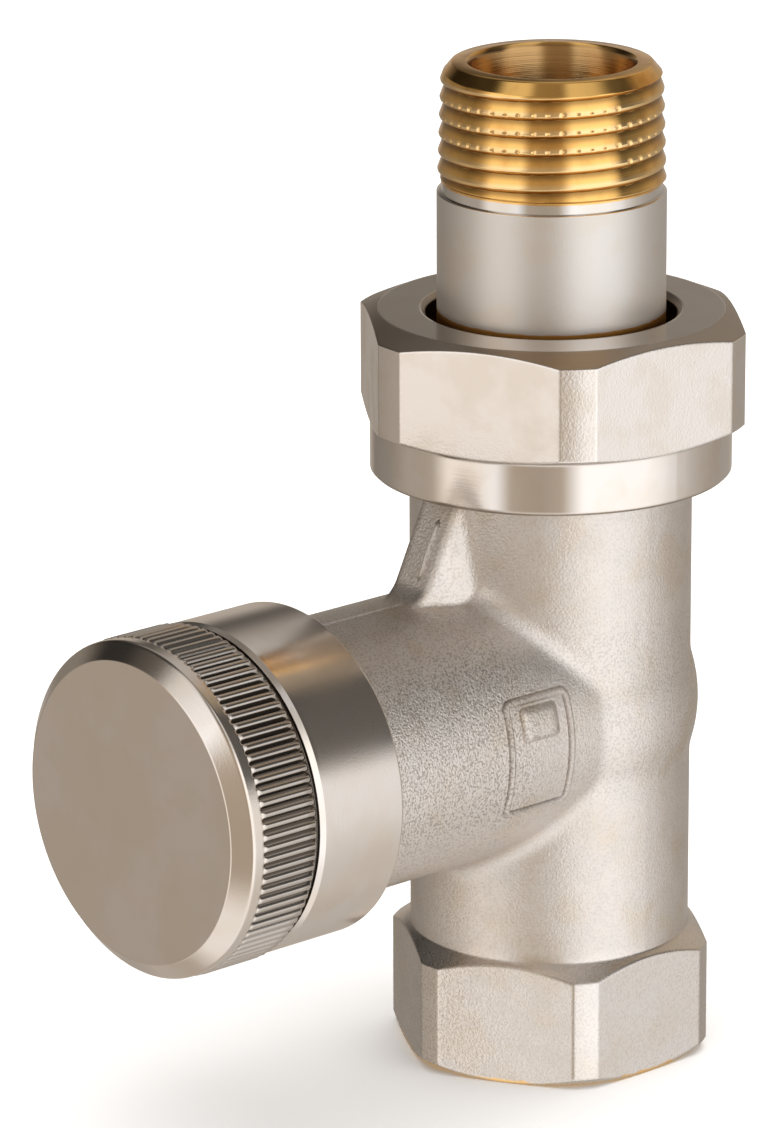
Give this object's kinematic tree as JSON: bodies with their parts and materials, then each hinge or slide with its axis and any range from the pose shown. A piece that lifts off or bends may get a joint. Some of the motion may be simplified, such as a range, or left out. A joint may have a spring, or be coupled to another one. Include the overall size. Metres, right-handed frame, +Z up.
{
  "type": "manual radiator valve",
  "caption": "Straight return shut-off radiator valve: hexagon foot with inlet thread, side branch under a knurled sealing cap, union nut and threaded tailpiece.",
  "frame": {"origin": "centre of the flat foot, at the mouth of the inlet thread", "axes": "+Z up the flow axis from inlet to tailpiece, -Y along the branch towards the sealing cap, +X completes the right-handed frame"},
  "size_m": [0.028, 0.0556, 0.0757],
  "materials": {
    "nickel_forged": "nickel plated, sand-blasted satin",
    "nickel_turned": "nickel plated, turned and knurled",
    "tail_brass": "bare turned thread, nickel plated barrel",
    "turned_brass": "bare turned",
    "rubber": "matt black",
    "steel": "bare wire"
  },
  "bodies": {
    "body": {"valve_body": "nickel_forged", "guide_bush": "turned_brass", "guide_bush_o_ring": "rubber"},
    "tail": {"tailpiece": "tail_brass"},
    "nut": {"union_nut": "nickel_forged"},
    "gasket": {"cap_gasket": "rubber"},
    "cap": {"sealing_cap": "nickel_turned"},
    "plug": {"valve_plug": "turned_brass", "plug_ring": "steel", "seat_washer": "rubber", "washer_screw": "turned_brass"},
    "stem": {"spindle": "turned_brass", "spindle_o_ring_outer": "rubber", "spindle_o_ring_inner": "rubber"}
  },
  "joints": [
    {"name": "tail_lift", "type": "slide", "parent": "body", "child": "tail", "axis": [0, 0, 1], "range_m": [0, 0.00544]},
    {"name": "nut_turn", "type": "hinge", "parent": "tail", "child": "nut", "pos_m": [0, 0, 0.051], "axis": [0, 0, 1], "range_deg": [0, 1080]},
    {"name": "cap_travel", "type": "slide", "parent": "body", "child": "gasket", "axis": [0, -1, 0], "range_m": [0, 0.009]},
    {"name": "cap_turn", "type": "hinge", "parent": "gasket", "child": "cap", "pos_m": [0, -0.033, 0.0272], "axis": [0, -1, 0], "range_deg": [0, 2160]},
    {"name": "plug_lift", "type": "slide", "parent": "body", "child": "plug", "axis": [0, -1, 0], "range_m": [0, 0.003]},
    {"name": "spindle_turn", "type": "hinge", "parent": "plug", "child": "stem", "pos_m": [0, -0.02, 0.0272], "axis": [0, -1, 0], "range_deg": [0, 1080]}
  ],
  "couplings": [
    {"joint": "tail_lift", "follows": "nut_turn", "m_per_rad": 0.00028871},
    {"joint": "cap_travel", "follows": "cap_turn", "m_per_rad": 0.00023873},
    {"joint": "plug_lift", "follows": "spindle_turn", "m_per_rad": 0.00015915}
  ]
}
